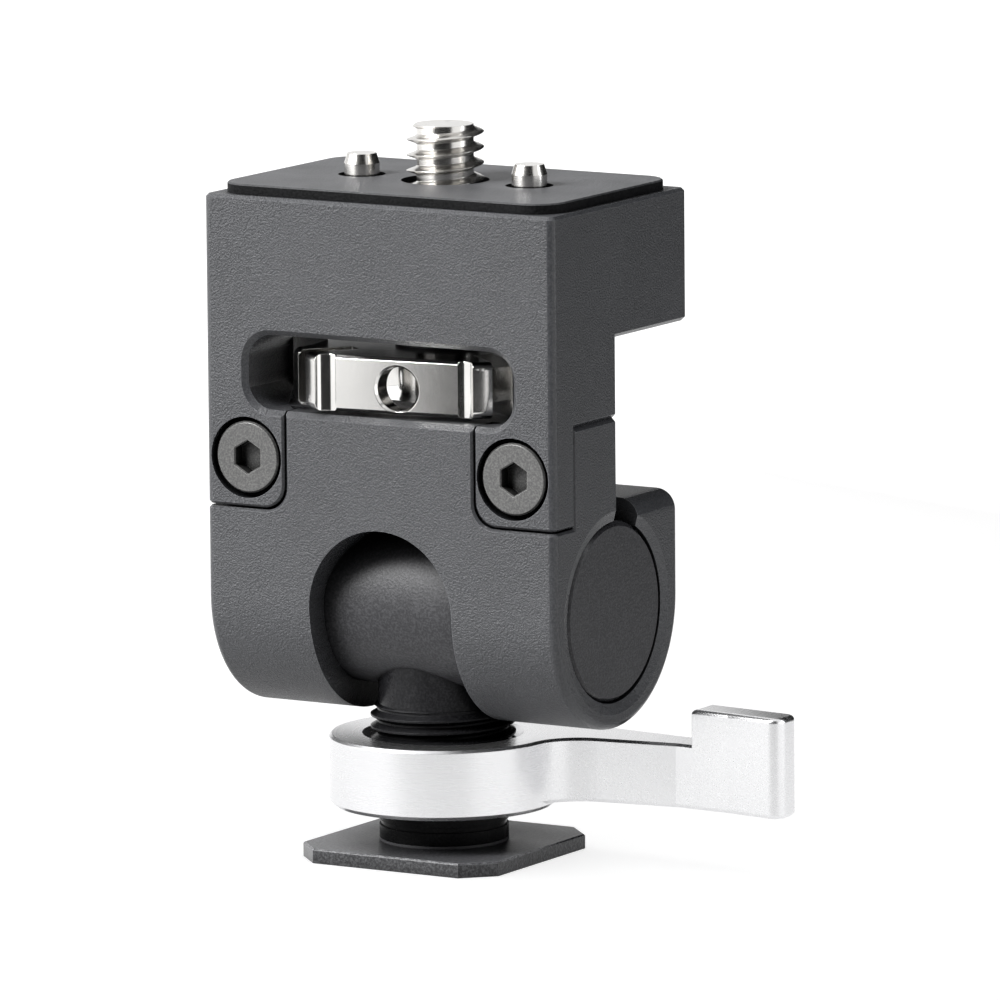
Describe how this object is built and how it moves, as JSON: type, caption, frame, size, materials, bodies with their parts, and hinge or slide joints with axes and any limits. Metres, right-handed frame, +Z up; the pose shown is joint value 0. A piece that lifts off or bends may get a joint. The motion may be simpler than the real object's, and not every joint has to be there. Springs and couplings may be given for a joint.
{
  "type": "tilting monitor mount",
  "caption": "Small tilt head with a captive thread stud and two sprung locating pins, on a cold-shoe foot clamped by a lever nut.",
  "frame": {"origin": "centre of the foot's underside, on the stem's axis", "axes": "+Z up along the stem; the tilt axis is along X; the front, with the wheel window, faces -Y; the lever points along +X at rest"},
  "size_m": [0.0464, 0.0226, 0.06],
  "materials": {
    "black_anodised": "fine bead-blasted, black anodised",
    "black_steel": "black oxide",
    "stainless": "polished turned stainless",
    "spring_steel": "bright drawn wire",
    "bright_aluminium": "clear anodised, satin machined",
    "black_nylon": "matte",
    "pad_rubber": "fine matte"
  },
  "bodies": {
    "foot": {"foot_plate": "black_anodised", "foot_washer": "black_nylon"},
    "stem": {"tilt_barrel": "black_anodised", "pivot_screw": "black_steel"},
    "nut_carrier": {"nut_washer": "black_nylon"},
    "nut": {"lever_nut": "bright_aluminium"},
    "head": {"clamp_body": "black_anodised", "upper_housing": "black_anodised", "seat_pad": "pad_rubber", "corner_screw_left": "black_steel", "corner_screw_right": "black_steel", "pin_plug_left": "black_steel", "pin_plug_right": "black_steel", "pin_spring_left": "spring_steel", "pin_spring_right": "spring_steel"},
    "pin_left": {"locating_pin_left": "stainless"},
    "pin_right": {"locating_pin_right": "stainless"},
    "screw_carrier": {"wheel_washer": "black_nylon"},
    "screw": {"thumb_wheel": "stainless", "mounting_stud": "stainless"}
  },
  "joints": [
    {"name": "pan", "type": "hinge", "parent": "foot", "child": "stem", "pos_m": [0, 0, 0], "axis": [0, 0, 1], "continuous": true},
    {"name": "tilt", "type": "hinge", "parent": "stem", "child": "head", "pos_m": [0, 0, 0.0212], "axis": [1, 0, 0], "range_deg": [-90, 90]},
    {"name": "nut_travel", "type": "slide", "parent": "stem", "child": "nut_carrier", "axis": [0, 0, 1], "range_m": [-0.0015, 0.0005]},
    {"name": "nut_turn", "type": "hinge", "parent": "nut_carrier", "child": "nut", "pos_m": [0, 0, 0], "axis": [0, 0, 1], "range_deg": [-540, 180]},
    {"name": "screw_lift", "type": "slide", "parent": "head", "child": "screw_carrier", "axis": [0, 0, 1], "range_m": [0, 0.001]},
    {"name": "screw_turn", "type": "hinge", "parent": "screw_carrier", "child": "screw", "pos_m": [0, 0.0011, 0.04], "axis": [0, 0, 1], "continuous": true},
    {"name": "pin_left_press", "type": "slide", "parent": "head", "child": "pin_left", "axis": [0, 0, 1], "range_m": [-0.00175, 0], "stiffness_N_per_m": 400, "springref_m": 0.001, "deforming": ["pin_spring_left"]},
    {"name": "pin_right_press", "type": "slide", "parent": "head", "child": "pin_right", "axis": [0, 0, 1], "range_m": [-0.00175, 0], "stiffness_N_per_m": 400, "springref_m": 0.001, "deforming": ["pin_spring_right"]}
  ],
  "couplings": [
    {"joint": "nut_turn", "follows": "nut_travel", "rad_per_m": 6283.2}
  ]
}
